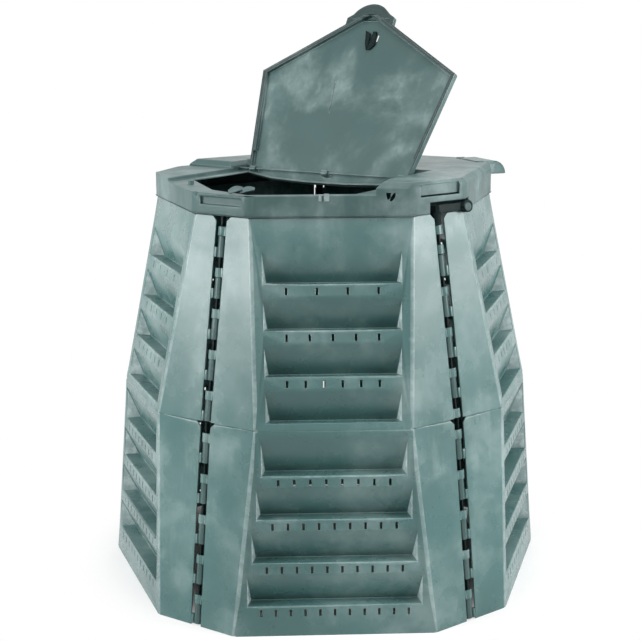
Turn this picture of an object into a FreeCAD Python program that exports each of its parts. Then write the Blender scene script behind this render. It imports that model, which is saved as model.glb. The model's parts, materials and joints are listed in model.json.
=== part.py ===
import FreeCAD, Part
import Sketcher
import math
import os

Vector = FreeCAD.Vector

doc = FreeCAD.newDocument("Compost_bin")
sheet = doc.addObject("Spreadsheet::Sheet", "Sizes")

# ---- Driving dimensions, in millimetres and degrees --------------------------------------------

SIZES = {
    # the five-sided wall: levels, distance of a face from the middle, half width of a face
    "ground_level": 0,
    "seam_level": 537,
    "top_level": 1060,
    "foot_apothem": 572,
    "seam_apothem": 542,
    "top_apothem": 431,
    "foot_half": 260,
    "seam_half": 197,
    "top_half": 205,
    "middle_y": -22,
    "skin": 5,
    # knuckle hinges at the five corners
    "hinge_gap": 16,
    "corner_nick": 14,
    "pin_depth": 14,
    "bore_radius": 9.4,
    "barrel_radius": 13,
    "barrel_back": 10.5,
    "barrel_length": 54,
    "band_radius": 15.2,
    "band_length": 23,
    "tab_length": 25,
    "tab_grip": 3,
    "lower_pitch": 107,
    "upper_pitch": 105.4,
    "lower_start": 4,
    "upper_start": 2,
    # locking rods with a cross section of four ribs
    "rib_reach": 8.6,
    "rib_half": 2.2,
    "head_reach": 11.5,
    "head_length": 24,
    # louvres
    "louvre_depth": 41,
    "louvre_rise": 3,
    "louvre_draft": 10,
    "louvre_margin": 26,
    "ledge_pitch": 113.7,
    "upper_ledge": 896.3,
    "lower_ledge": 420,
    "upper_recess": 77,
    "lower_recess": 84,
    "upper_first": 6,
    "lower_first": 9,
    "slot_half": 3,
    "slot_rise": 9,
    "slot_drop": 18,
    "upper_slots": 232,
    "lower_slots": 283,
    "slots_grow": 31.7,
    # handle on the front right rod
    "hub_radius": 15,
    "hub_foot": 500.5,
    "hub_top": 551,
    "arm_foot": 531.5,
    "arm_reach": 86,
    "arm_front": -12,
    "arm_back": 2,
    "boss_radius": 16,
    "boss_front": -20,
    "boss_back": -5,
    "cap_radius": 11,
    "cap_sink": 3,
    # lid
    "lid_apothem": 437,
    "lid_half": 208,
    "lid_foot": 1061.5,
    "lid_seat": 1060.4,
    "rim_underside": 1109,
    "rim_top": 1115,
    "seat_inset": 29,
    "lip_apothem": 416,
    "lip_half": 150,
    "lip_foot": 1046,
    "notch_foot": 1037,
    "notch_top": 1090,
    "notch_left": -34,
    "notch_right": 120,
    "notch_inner": 440,
    "corner_outer": 500,
    # raised deck behind the flap, and the lower shelf at its left end
    "deck_top": 1145,
    "deck_wall": 12,
    "deck_bevel": 14,
    "deck_front": -42,
    "deck_side": 300,
    "deck_end": 40,
    "wing_side": 310,
    "wing_bend": 190,
    "wing_start": 110,
    "shelf_top": 1125.5,
    "shelf_side": 297,
    "shelf_back": 30,
    "shelf_start": 168,
    "shelf_end": 50,
    # hand recesses in the corners under the flap's tip and above the handle
    "tip_recess_foot": 1086,
    "tip_recess_top": 1106,
    "tip_recess_half": 64,
    "side_recess_foot": 1106,
    "side_recess_top": 1137,
    "side_recess_half": 66,
    "recess_depth": 8,
    "recess_block": 22,
    # filling opening
    "opening_back": -38,
    "opening_side": 275,
    "opening_left": 245,
    "opening_tip_left": 75,
    "opening_tip_back": 410,
    "opening_tip_right": 72,
    "opening_tip_front": 455,
    "opening_right": 290,
    "opening_right_front": 296,
    # flap and its hinge
    "flap_level": 1125,
    "flap_open": 119,
    "flap_bow_half": 70,
    "flap_bow": 30,
    "flap_turn_half": 180,
    "flap_turn": 25,
    "flap_back_half": 265,
    "flap_back": 12,
    "flap_shoulder": 316,
    "flap_shoulder_half": 324,
    "flap_tip": 500,
    "flap_tip_half": 24,
    "flap_top": 20,
    "flap_skin": 5,
    "flap_hem": 18,
    "pin_radius": 3,
    "pin_fit": 3.25,
    "pin_half": 308,
    "pin_hole": 3.1,
    "eye_radius": 8,
    "eye_sink": 2,
    "flap_grip_half": 66,
    "flap_grip_base": 484,
    "flap_grip_reach": 531,
    "flap_grip_foot": -18,
    "grip_half": 65,
    "grip_reach": 531,
    "grip_round": 38,
}

for row, (name, value) in enumerate(SIZES.items(), start=1):
    sheet.set(f"A{row}", name)
    sheet.set(f"B{row}", str(value))
    sheet.setAlias(f"B{row}", name)
doc.recompute()


def size(name):
    """The value of a driving dimension."""
    return float(sheet.get(name))


def formula(text):
    """A formula in which each driving dimension's name is given its sheet."""
    out = ""
    word = ""
    for letter in text + " ":
        if letter.isalnum() or letter == "_":
            word += letter
            continue
        out += f"Sizes.{word}" if word in SIZES else word
        out += letter
        word = ""
    return out.strip()


def bind(thing, path, text):
    thing.setExpression(path, formula(text))


# ---- Helpers for bodies, sketches and features -------------------------------------------------

def new_body(label):
    body = doc.addObject("PartDesign::Body", label)
    body.Label = label
    return body


def origin_plane(body, role):
    return next(item for item in body.Origin.OriginFeatures if item.Role == role)


def attach(thing, body, role, offset):
    """Attach to an origin plane of the body; offset names placement parts and their formulas."""
    thing.AttachmentSupport = [(origin_plane(body, role), "")]
    thing.MapMode = "FlatFace"
    for path, text in offset.items():
        bind(thing, "AttachmentOffset." + path, text)


def new_sketch(body, name, role="XY_Plane", offset=None):
    sketch = body.newObject("Sketcher::SketchObject", name)
    attach(sketch, body, role, offset or {})
    return sketch


def fix(sketch, kind, elements, text, start):
    """Add a constraint whose value follows a formula, from a first value."""
    index = sketch.addConstraint(Sketcher.Constraint(kind, *elements, start))
    bind(sketch, f"Constraints[{index}]", text)


def place_point(sketch, element, end, corner, start):
    """Hold one end of an element at a corner given by two formulas."""
    fix(sketch, "DistanceX", (-1, 1, element, end), corner[0], start.x)
    fix(sketch, "DistanceY", (-1, 1, element, end), corner[1], start.y)


FIRST_RADIUS = 100
FIRST_TURN = 0.3


def add_loop(sketch, corners):
    """A closed run of lines through corners that are pairs of formulas."""
    count = len(corners)
    first = sketch.GeometryCount
    ring = []
    for number in range(count):
        turn = 2 * math.pi * (number + FIRST_TURN) / count
        ring.append(Vector(FIRST_RADIUS * math.cos(turn), FIRST_RADIUS * math.sin(turn), 0))
    for number in range(count):
        sketch.addGeometry(Part.LineSegment(ring[number], ring[(number + 1) % count]))
    for number in range(count):
        following = first + (number + 1) % count
        sketch.addConstraint(Sketcher.Constraint("Coincident", first + number, 2, following, 1))
    for number, corner in enumerate(corners):
        place_point(sketch, first + number, 1, corner, ring[number])


def add_circle(sketch, centre, radius):
    element = sketch.addGeometry(Part.Circle(Vector(1, 1, 0), Vector(0, 0, 1), 5))
    place_point(sketch, element, 3, centre, Vector(1, 1, 0))
    fix(sketch, "Radius", (element,), radius, 5.0)
    return element


def add_polygon(sketch, centre, radius, sides):
    """A regular outline around a circle, with a flat side across each axis."""
    reach = f"({radius}) / cos({180 / sides} deg)"
    corners = []
    for number in range(sides):
        turn = f"{(number + 0.5) * 360 / sides} deg"
        corners.append((f"{centre[0]} + {reach} * cos({turn})", f"{centre[1]} + {reach} * sin({turn})"))
    add_loop(sketch, corners)


def pad(body, sketch, length, direction=None):
    feature = body.newObject("PartDesign::Pad", sketch.Name + "_Pad")
    feature.Refine = False
    feature.Profile = sketch
    if direction is not None:
        feature.UseCustomVector = True
        feature.Direction = direction
        feature.AlongSketchNormal = False
    bind(feature, "Length", length)
    return feature


def pocket(body, sketch, length, reverse=False):
    feature = body.newObject("PartDesign::Pocket", sketch.Name + "_Pocket")
    feature.Refine = False
    feature.Profile = sketch
    feature.Reversed = reverse
    bind(feature, "Length", length)
    return feature


def row_of(body, feature, sketch, axis, span, count):
    """Repeat a feature along an axis of its sketch."""
    pattern = body.newObject("PartDesign::LinearPattern", feature.Name + "_Row")
    pattern.Refine = False
    pattern.Originals = [feature]
    pattern.Direction = (sketch, [axis])
    bind(pattern, "Length", span)
    pattern.Occurrences = count
    body.Tip = pattern
    return pattern


def mirror(body, features):
    twin = body.newObject("PartDesign::Mirrored", features[0].Name + "_Mirror")
    twin.Originals = features
    twin.MirrorPlane = (origin_plane(body, "YZ_Plane"), [""])
    body.Tip = twin
    return twin


# ---- Walls -------------------------------------------------------------------------------------

KNUCKLES = 5
LEDGES = 4
PANELS = ("front", "right", "back_right", "back_left", "left")
CORNERS = {"front_left": -126, "front_right": -54, "right": 18, "back": 90, "left": 162}
# the edges that end in short bands; every other edge ends in long barrels
BANDED = {("front", -1), ("front", 1), ("right", 1), ("back_right", 1), ("back_left", 1)}
SLOT_COUNTS = {"upper": (4, 5, 6, 0), "lower": (8, 9, 10, 11)}


def tier_names(tier):
    """Names of the dimensions at the low and the high end of a tier."""
    if tier == "lower":
        return "ground_level", "foot_apothem", "foot_half", "seam_level", "seam_apothem", "seam_half"
    return "seam_level", "seam_apothem", "seam_half", "top_level", "top_apothem", "top_half"


def corner_reach(apothem, half):
    """Distance from the middle to the flat of a cut corner."""
    return f"({half} * cos(54 deg) + {apothem} * sin(54 deg))"


class Tier:
    """Formulas for the leaning faces and corners of one ring of panels."""

    def __init__(self, name):
        low, low_apothem, low_half, high, high_apothem, high_half = tier_names(name)
        self.name = name
        self.low = low
        self.low_apothem = low_apothem
        self.low_half = low_half
        self.high_half = high_half
        self.rise = f"({high} - {low})"
        self.lean = f"atan(({low_apothem} - {high_apothem}) / {self.rise})"
        self.slope = f"({self.rise} / cos({self.lean}))"
        self.low_reach = corner_reach(low_apothem, low_half)
        high_reach = corner_reach(high_apothem, high_half)
        self.corner_lean = f"atan(({self.low_reach} - {high_reach}) / {self.rise})"
        self.corner_slope = f"({self.rise} / cos({self.corner_lean}))"
        self.low_cut = f"(({self.low_reach} * sin(36 deg) - {low_half}) / cos(36 deg))"
        self.high_cut = f"(({high_reach} * sin(36 deg) - {high_half}) / cos(36 deg))"
        self.start = f"{name}_start"
        self.pitch = f"{name}_pitch"

    def half_at(self, level):
        return f"({self.low_half} + ({self.high_half} - {self.low_half}) * ({level} - {self.low}) / {self.rise})"


def face_offset(tier, roll=""):
    """The leaning front face: x across, y up the slope, z outwards."""
    return {"Base.y": tier.low, "Base.z": tier.low_apothem, "Rotation.Roll": f"{roll}-{tier.lean}"}


def hinge_offset(tier, side, along):
    """Square to the rod of a corner: x along the cut corner, y inwards, z up the rod."""
    reach = f"({tier.low_reach} - ({along}) * sin({tier.corner_lean}))"
    return {
        "Base.x": f"{side} * {reach} * sin(36 deg)",
        "Base.y": f"-{reach} * cos(36 deg)",
        "Base.z": f"{tier.low} + ({along}) * cos({tier.corner_lean})",
        "Rotation.Yaw": f"{side} * 36 deg",
        "Rotation.Roll": f"-{tier.corner_lean}",
    }


def add_shell(body, tier):
    """The flat face and the two wings that turn towards the neighbouring panels."""
    face = new_sketch(body, "Face", "XZ_Plane", face_offset(tier))
    add_loop(face, [(f"-{tier.low_half}", "0"), (tier.low_half, "0"),
                    (tier.high_half, tier.slope), (f"-{tier.high_half}", tier.slope)])
    pad(body, face, f"skin / cos({tier.lean})", Vector(0, 1, 0))

    wing = new_sketch(body, "Wing", "XZ_Plane", {
        "Base.x": f"{tier.low_reach} * sin(36 deg)",
        "Base.y": tier.low,
        "Base.z": f"{tier.low_reach} * cos(36 deg)",
        "Rotation.Pitch": "36 deg",
        "Rotation.Roll": f"-{tier.corner_lean}",
    })
    add_loop(wing, [(f"-{tier.low_cut}", "0"), ("-hinge_gap", "0"),
                    ("-hinge_gap", f"{tier.corner_slope} - corner_nick"),
                    ("-hinge_gap - corner_nick", tier.corner_slope),
                    (f"-{tier.high_cut}", tier.corner_slope)])
    inwards = Vector(-math.sin(math.radians(36)), math.cos(math.radians(36)), 0)
    mirror(body, [pad(body, wing, f"skin / cos({tier.corner_lean})", inwards)])


def add_wedge(body, kind, name, tier, sizes):
    wedge = body.newObject(kind, name)
    wedge.Refine = False
    attach(wedge, body, "XZ_Plane", face_offset(tier, "-90 deg "))
    for path, text in sizes.items():
        bind(wedge, path, text)
    return wedge


def add_louvres(body, tier):
    """Sloping recesses that end on a ledge, with a row of air slots below most ledges."""
    for number in range(LEDGES):
        ledge = f"({tier.name}_ledge - {number} * ledge_pitch)"
        extra = f" + {tier.name}_first" if number == 0 else ""
        up = f"(({ledge} - {tier.low}) / cos({tier.lean}))"
        bay = f"({tier.half_at(ledge)} - louvre_margin)"
        deep = f"({bay} - louvre_draft)"
        add_wedge(body, "PartDesign::AdditiveWedge", f"Hood{number}", tier, {
            "Xmax": f"{bay} + skin", "Xmin": f"-{bay} - skin",
            "Ymax": "louvre_depth + skin", "Ymin": "skin / 2",
            "Zmax": f"{up} + {tier.name}_recess + skin{extra}", "Zmin": f"{up} - skin",
            "X2max": f"{deep} + skin", "X2min": f"-{deep} - skin",
            "Z2max": f"{up} + louvre_rise + 2 * skin", "Z2min": f"{up} + louvre_rise - skin",
        })
        add_wedge(body, "PartDesign::SubtractiveWedge", f"Recess{number}", tier, {
            "Xmax": bay, "Xmin": f"-{bay}",
            "Ymax": "louvre_depth", "Ymin": "-1",
            "Zmax": f"{up} + {tier.name}_recess{extra}", "Zmin": up,
            "X2max": deep, "X2min": f"-{deep}",
            "Z2max": f"{up} + louvre_rise + skin / 2", "Z2min": f"{up} + louvre_rise",
        })
    for number, count in enumerate(SLOT_COUNTS[tier.name]):
        if count == 0:
            continue
        grow = f" + {number} * slots_grow" if tier.name == "lower" else ""
        span = f"({tier.name}_slots{grow})"
        ledge = f"({tier.name}_ledge - {number} * ledge_pitch)"
        middle = f"(({ledge} - {tier.low} - slot_drop) / cos({tier.lean}))"
        slot = new_sketch(body, f"Slot{number}", "XZ_Plane", face_offset(tier))
        left = f"-{span} / 2 - slot_half"
        right = f"-{span} / 2 + slot_half"
        add_loop(slot, [(left, f"{middle} - slot_rise"), (right, f"{middle} - slot_rise"),
                        (right, f"{middle} + slot_rise"), (left, f"{middle} + slot_rise")])
        row_of(body, pocket(body, slot, "louvre_depth / 2"), slot, "H_Axis", span, count)


def add_knuckles(body, tier, side, banded, shift, count):
    """Knuckles along one hinge edge: short half bands, or long barrels held by a tab."""
    owner = -side
    name = "Band" if banded else "Barrel"
    along = f"{tier.start} + {shift}"
    length = "band_length" if banded else "barrel_length"
    ring = new_sketch(body, f"{name}{side + 1}", "XY_Plane", hinge_offset(tier, side, along))
    if banded:
        add_band(ring)
    else:
        add_barrel(ring)
    tab = new_sketch(body, f"{name}Tab{side + 1}", "XY_Plane", hinge_offset(tier, side, along))
    near = f"{owner} * bore_radius"
    far = f"{owner} * (hinge_gap + tab_grip)"
    first, last = (near, far) if owner > 0 else (far, near)
    add_loop(tab, [(first, "1"), (last, "1"), (last, "skin + tab_grip"), (first, "skin + tab_grip")])
    features = [pad(body, ring, length), pad(body, tab, "band_length" if banded else "tab_length")]
    pattern = row_of(body, features[0], ring, "N_Axis", f"{count - 1} * {tier.pitch}", count)
    pattern.Originals = features
    pattern.Refine = True


OUTWARD_TURNS = (-20, -55, -90, -125, -160)


def around_rod(radius, turns, widen=0):
    """Points around a rod: formulas across and inwards, for turns in degrees."""
    reach = f"{radius} / cos({widen} deg)"
    return [(f"{reach} * cos({turn} deg)", f"pin_depth + {reach} * sin({turn} deg)")
            for turn in turns]


def add_barrel(sketch):
    """Round outside, flat inside, with a six-sided bore for the rod."""
    outside = around_rod("barrel_radius", OUTWARD_TURNS)
    back = [(outside[end][0], "pin_depth + barrel_back") for end in (-1, 0)]
    add_loop(sketch, outside + back)
    add_loop(sketch, around_rod("bore_radius", range(0, 360, 60), 30))


def add_band(sketch):
    """A half band over the outside of the rod."""
    inside = around_rod("bore_radius", (-160, -115, -65, -20), 25)
    add_loop(sketch, around_rod("band_radius", OUTWARD_TURNS) + inside)


def build_panel(tier, name, turn):
    body = new_body(f"{tier.name}_{name}_panel")
    add_shell(body, tier)
    add_louvres(body, tier)
    for side in (-1, 1):
        banded = (name, side) in BANDED
        handle_corner = tier.name == "upper" and (name, side) in (("front", 1), ("right", -1))
        shift = "barrel_length + 1" if banded else "0"
        if handle_corner:
            shift = "0" if banded else "band_length + tab_length + 3"
        add_knuckles(body, tier, side, banded, shift, KNUCKLES - 1 if handle_corner else KNUCKLES)
    body.Placement = FreeCAD.Placement(Vector(0, size("middle_y"), 0),
                                       FreeCAD.Rotation(Vector(0, 0, 1), turn))
    return body


# ---- Locking rods ------------------------------------------------------------------------------

def rod_offset(tier, along):
    """Square to the rod of a corner that points to the front: x across, y inwards, z up."""
    return {
        "Base.y": f"-({tier.low_reach} - ({along}) * sin({tier.corner_lean}))",
        "Base.z": f"{tier.low} + ({along}) * cos({tier.corner_lean})",
        "Rotation.Roll": f"-{tier.corner_lean}",
    }


def add_cross(sketch, reach):
    """Four ribs that meet at the middle of the rod."""
    quarter = [("rib_half", "-rib_half"), (reach, "-rib_half"), (reach, "rib_half")]
    corners = []
    for turn in range(4):
        for across, inwards in quarter:
            x, y = across, inwards
            for _ in range(turn):
                x, y = f"-({y})", x
            corners.append((x, f"pin_depth + ({y})"))
    add_loop(sketch, corners)


def turn_to_corner(body, corner):
    body.Placement = FreeCAD.Placement(Vector(0, size("middle_y"), 0),
                                       FreeCAD.Rotation(Vector(0, 0, 1), CORNERS[corner] + 90))


def build_rod(tier, corner):
    """A rod of cross section whose wider head stands on the uppermost knuckle."""
    body = new_body(f"{tier.name}_{corner}_rod")
    stem = new_sketch(body, "Stem", "XY_Plane", rod_offset(tier, tier.start))
    add_cross(stem, "rib_reach")
    length = f"({KNUCKLES} * {tier.pitch})"
    pad(body, stem, f"{length} - 1")
    head = new_sketch(body, "Head", "XY_Plane",
                      rod_offset(tier, f"{tier.start} + {length} - 1 - head_length"))
    add_cross(head, "head_reach")
    pad(body, head, "head_length")
    turn_to_corner(body, corner)
    return body


def boss_offset(tier, inwards):
    """Facing outwards at the height of the arm: x along the wall, y up, z outwards."""
    offset = rod_offset(tier, "(arm_foot + hub_top) / 2")
    offset["Base.y"] += f" + ({inwards})"
    offset["Rotation.Roll"] = f"90 deg - {tier.corner_lean}"
    return offset


def build_handle_cap(tier):
    body = new_body("handle_cap")
    disc = new_sketch(body, "Disc", "XY_Plane", boss_offset(tier, "boss_front + cap_sink"))
    add_circle(disc, ("arm_reach", "0"), "cap_radius - 0.1")
    pad(body, disc, "cap_sink")
    turn_to_corner(body, "front_right")
    return body


def build_handle_rod(tier):
    """The front right rod: a round hub, an arm along the wall and a boss at the arm's end."""
    body = new_body("upper_front_right_handle")
    stem = new_sketch(body, "Stem", "XY_Plane", rod_offset(tier, tier.start))
    add_cross(stem, "rib_reach")
    pad(body, stem, f"hub_foot - {tier.start} + 1")
    hub = new_sketch(body, "Hub", "XY_Plane", rod_offset(tier, "hub_foot"))
    add_circle(hub, ("0", "pin_depth"), "hub_radius")
    pad(body, hub, "hub_top - hub_foot")
    arm = new_sketch(body, "Arm", "XY_Plane", rod_offset(tier, "arm_foot"))
    add_loop(arm, [("-hub_radius", "pin_depth"), ("-hub_radius", "arm_front / 2"),
                   ("-hub_radius / 2", "arm_front"), ("arm_reach", "arm_front"),
                   ("arm_reach", "arm_back"), ("hub_radius", "arm_back"), ("hub_radius", "pin_depth")])
    pad(body, arm, "hub_top - arm_foot")
    boss = new_sketch(body, "Boss", "XY_Plane", boss_offset(tier, "boss_back"))
    add_circle(boss, ("arm_reach", "0"), "boss_radius")
    pad(body, boss, "boss_back - boss_front")
    seat = new_sketch(body, "CapSeat", "XY_Plane", boss_offset(tier, "boss_front"))
    add_circle(seat, ("arm_reach", "0"), "cap_radius")
    pocket(body, seat, "cap_sink")
    turn_to_corner(body, "front_right")
    return body


# ---- Lid: its own x runs along the flap hinge, its y points to the front left corner -------------

# outward directions of its sides and of two of its cut corners, in degrees from its x
LID_TURN = 144
LEFT, FRONT, RIGHT, BACK_RIGHT, BACK_LEFT = LID_NORMALS = (54, 126, 198, 270, 342)
TIP_CORNER = 90
HANDLE_CORNER = 162
GRIP_TURNS = (144, -144)


def across_face(reach, along, normal):
    """A point at a distance outwards and a distance along a face whose direction is in degrees."""
    return (f"({reach}) * cos({normal} deg) - ({along}) * sin({normal} deg)",
            f"({reach}) * sin({normal} deg) + ({along}) * cos({normal} deg)")


def face_patch(normal, first, last, inner, outer):
    """A rectangle against one side of the lid."""
    return [across_face(inner, first, normal), across_face(outer, first, normal),
            across_face(outer, last, normal), across_face(inner, last, normal)]


def lid_side(inset, normal, end):
    """One end of a face of the lid, moved inwards."""
    return across_face(f"lid_apothem - {inset}", f"{end} * (lid_half - {inset} * tan(18 deg))", normal)


def ten_sides(inset):
    """The lid's outline, moved inwards."""
    return [lid_side(inset, normal, end) for normal in LID_NORMALS for end in (-1, 1)]


def bevel_top(body, feature, height, width):
    """Chamfer every edge that a feature has at a height."""
    doc.recompute()
    top = size(height)
    names = []
    for number, edge in enumerate(feature.Shape.Edges, start=1):
        if all(abs(vertex.Z - top) < 0.01 for vertex in edge.Vertexes):
            names.append(f"Edge{number}")
    bevel = body.newObject("PartDesign::Chamfer", feature.Name + "_Bevel")
    bevel.Base = (feature, names)
    bind(bevel, "Size", width)
    body.Tip = bevel
    return bevel


def both_sides(half):
    """Corners with their mirror images across the middle of the lid."""
    return half + [(f"-({across})", forwards) for across, forwards in reversed(half)]


def opening_corners():
    """The hole that the flap covers: its rim is wider on the left of the tip than on the right."""
    return [("opening_side", "opening_back"), ("opening_side", "opening_left"),
            ("opening_tip_left", "opening_tip_back"), ("-opening_tip_right", "opening_tip_front"),
            ("-opening_right", "opening_right_front"), ("-opening_side", "opening_back")]


def level(height):
    return {"Base.z": height}


def add_block(body, name, foot, height, corners):
    block = new_sketch(body, name, "XY_Plane", level(foot))
    add_loop(block, corners)
    return pad(body, block, height)


def cut_block(body, name, foot, height, corners):
    block = new_sketch(body, name, "XY_Plane", level(foot))
    add_loop(block, corners)
    return pocket(body, block, height, True)


def add_ring(body, name, foot, height, outer, inner):
    ring = new_sketch(body, name, "XY_Plane", level(foot))
    add_loop(ring, outer)
    add_loop(ring, inner)
    return pad(body, ring, height)


def deck_corners(inset):
    """The raised part behind and beside the flap: its outline, moved inwards."""
    return ([(f"-deck_side - {inset}", f"deck_front - {inset}"), (f"-wing_side - {inset}", "wing_bend"),
             across_face(f"lid_apothem - {inset}", f"wing_start + {inset}", FRONT),
             lid_side(inset, FRONT, 1)]
            + [lid_side(inset, normal, end) for normal in (RIGHT, BACK_RIGHT) for end in (-1, 1)]
            + [lid_side(inset, BACK_LEFT, -1),
               across_face(f"lid_apothem - {inset}", f"shelf_start - {inset}", BACK_LEFT),
               (f"deck_side + {inset}", f"deck_end - {inset}"),
               (f"deck_side + {inset}", f"deck_front - {inset}")])


def shelf_corners(inset):
    """The lower step at the left corner of the opening: its outline, moved inwards."""
    return [(f"shelf_side + {inset}", "shelf_back"),
            across_face(f"lid_apothem - {inset}", "shelf_start", BACK_LEFT),
            lid_side(inset, BACK_LEFT, 1), lid_side(inset, LEFT, -1),
            across_face(f"lid_apothem - {inset}", f"-shelf_end - 2 * {inset}", LEFT)]


def hollow_under(body, name, top, corners):
    """Open the underside of a raised part, up to a skin's thickness below its top."""
    under = new_sketch(body, name + "Under", "XY_Plane", level(f"{top} - skin"))
    add_loop(under, corners)
    pocket(body, under, f"{top} - rim_underside")


def add_grip(body, name, turn):
    """A quarter-round hand grip at a corner, for a turn away from the y axis."""
    grip = body.newObject("Sketcher::SketchObject", name)
    grip.AttachmentSupport = [(origin_plane(body, "YZ_Plane"), "")]
    grip.MapMode = "FlatFace"
    grip.AttachmentOffset = FreeCAD.Placement(Vector(), FreeCAD.Rotation(Vector(0, 1, 0), turn))
    radius = size("grip_round")
    reach = size("grip_reach")
    inner = size("lid_apothem")
    base = size("rim_underside")
    circle = Part.Circle(Vector(reach - radius, base, 0), Vector(0, 0, 1), radius)
    arc = grip.addGeometry(Part.ArcOfCircle(circle, 0, math.pi / 2))
    places = [Vector(reach - radius, base + radius, 0), Vector(inner, base + radius, 0),
              Vector(inner, base, 0), Vector(reach, base, 0)]
    lines = [grip.addGeometry(Part.LineSegment(*pair)) for pair in zip(places, places[1:])]
    for before, after in zip([arc] + lines, lines + [arc]):
        grip.addConstraint(Sketcher.Constraint("Coincident", before, 2, after, 1))
    place_point(grip, arc, 1, ("grip_reach", "rim_underside"), places[3])
    place_point(grip, arc, 3, ("grip_reach - grip_round", "rim_underside"), circle.Center)
    fix(grip, "DistanceX", (-1, 1, arc, 2), "grip_reach - grip_round", places[0].x)
    place_point(grip, lines[0], 2, ("lid_apothem", "rim_underside + grip_round"), places[1])
    place_point(grip, lines[1], 2, ("lid_apothem", "rim_underside"), places[2])
    feature = pad(body, grip, "2 * grip_half")
    feature.SideType = "Symmetric"
    return feature


def build_lid():
    """A skirt over the top of the walls, a rim around the opening and a raised deck behind it."""
    body = new_body("lid")
    add_ring(body, "Skirt", "lid_foot", "rim_top - lid_foot", ten_sides("0"), ten_sides("skin"))
    add_ring(body, "Rim", "rim_underside", "rim_top - rim_underside", ten_sides("2"),
             opening_corners())
    add_ring(body, "Seat", "lid_seat", "skin", ten_sides("2"), ten_sides("seat_inset"))
    lip = new_sketch(body, "Lip", "XY_Plane", level("lip_foot"))
    for normal in LID_NORMALS:
        add_loop(lip, face_patch(normal, "-lip_half", "lip_half", "lip_apothem", "lip_apothem + skin"))
    pad(body, lip, "lid_seat + skin - lip_foot")
    deck = add_block(body, "Deck", "rim_underside", "deck_top - rim_underside", deck_corners("0"))
    bevel_top(body, deck, "deck_top", "deck_bevel")
    hollow_under(body, "Deck", "deck_top", deck_corners("deck_wall"))
    add_block(body, "Shelf", "rim_underside", "shelf_top - rim_underside", shelf_corners("0"))
    hollow_under(body, "Shelf", "shelf_top", shelf_corners("(2 * skin)"))
    for number, turn in enumerate(GRIP_TURNS):
        add_grip(body, f"Grip{number}", turn)

    corner = "(lid_half * cos(54 deg) + lid_apothem * sin(54 deg))"
    add_block(body, "TipBlock", "tip_recess_foot - skin", "rim_underside + 1 - tip_recess_foot + skin",
              face_patch(TIP_CORNER, "-tip_recess_half - skin", "tip_recess_half + skin",
                         f"{corner} - recess_block", f"{corner} - skin / 2"))
    cut_block(body, "TipRecess", "tip_recess_foot", "tip_recess_top - tip_recess_foot",
              face_patch(TIP_CORNER, "-tip_recess_half", "tip_recess_half",
                         f"{corner} - recess_depth", "corner_outer"))
    cut_block(body, "SideRecess", "side_recess_foot", "side_recess_top - side_recess_foot",
              face_patch(HANDLE_CORNER, "-side_recess_half", "side_recess_half",
                         f"{corner} - recess_depth", "corner_outer"))
    hole = new_sketch(body, "PinHole", "YZ_Plane", {"Base.z": "-pin_half - 0.5"})
    add_polygon(hole, ("0", "flap_level"), "pin_hole", 8)
    pocket(body, hole, "2 * pin_half + 1", True)
    last = cut_block(body, "HandleNotch", "notch_foot", "notch_top - notch_foot",
                     face_patch(HANDLE_CORNER, "notch_left", "notch_right", "notch_inner",
                                "corner_outer"))
    last.Refine = True
    body.Placement = FreeCAD.Placement(Vector(0, size("middle_y"), 0),
                                       FreeCAD.Rotation(Vector(0, 0, 1), LID_TURN))
    return body


def flap_corners(inset):
    """The flap's outline, moved inwards: bowed at the back, pointed at the tip."""
    return both_sides([("flap_bow_half", f"-flap_bow + {inset}"),
                       (f"flap_turn_half - {inset} / 4", f"-flap_turn + {inset}"),
                       (f"flap_back_half - {inset}", f"-flap_back + {inset}"),
                       (f"flap_shoulder_half - {inset}", f"flap_shoulder - {inset} / 2"),
                       ("flap_tip_half", f"flap_tip - {inset}")])


def flap_place():
    closed = FreeCAD.Placement(Vector(0, size("middle_y"), size("flap_level")),
                               FreeCAD.Rotation(Vector(0, 0, 1), LID_TURN))
    opened = FreeCAD.Placement(Vector(), FreeCAD.Rotation(Vector(1, 0, 0), size("flap_open")))
    return closed.multiply(opened)


def add_bow(sketch, inset):
    """An outward arc over a straight chord: the outline of the flap's grip, moved inwards."""
    half = f"(flap_grip_half - {inset})"
    base = f"(flap_grip_base + {inset})"
    reach = f"(flap_grip_reach - {inset})"
    moved = size(inset) if inset in SIZES else 0
    width = size("flap_grip_half") - moved
    foot = size("flap_grip_base") + moved
    top = size("flap_grip_reach") - moved
    radius = (width ** 2 + (top - foot) ** 2) / (2 * (top - foot))
    spread = math.asin(width / radius)
    circle = Part.Circle(Vector(0, top - radius, 0), Vector(0, 0, 1), radius)
    arc = sketch.addGeometry(Part.ArcOfCircle(circle, math.pi / 2 - spread, math.pi / 2 + spread))
    chord = sketch.addGeometry(Part.LineSegment(Vector(-width, foot, 0), Vector(width, foot, 0)))
    sketch.addConstraint(Sketcher.Constraint("Coincident", arc, 2, chord, 1))
    sketch.addConstraint(Sketcher.Constraint("Coincident", chord, 2, arc, 1))
    place_point(sketch, chord, 1, (f"-{half}", base), Vector(-width, foot, 0))
    place_point(sketch, chord, 2, (half, base), Vector(width, foot, 0))
    fix(sketch, "Radius", (arc,), f"({half} ^ 2 + ({reach} - {base}) ^ 2) / (2 * ({reach} - {base}))",
        radius)


# where each eye starts across the flap, and its width
EYES = ((-258, 18), (-10, 20), (240, 18))


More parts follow.
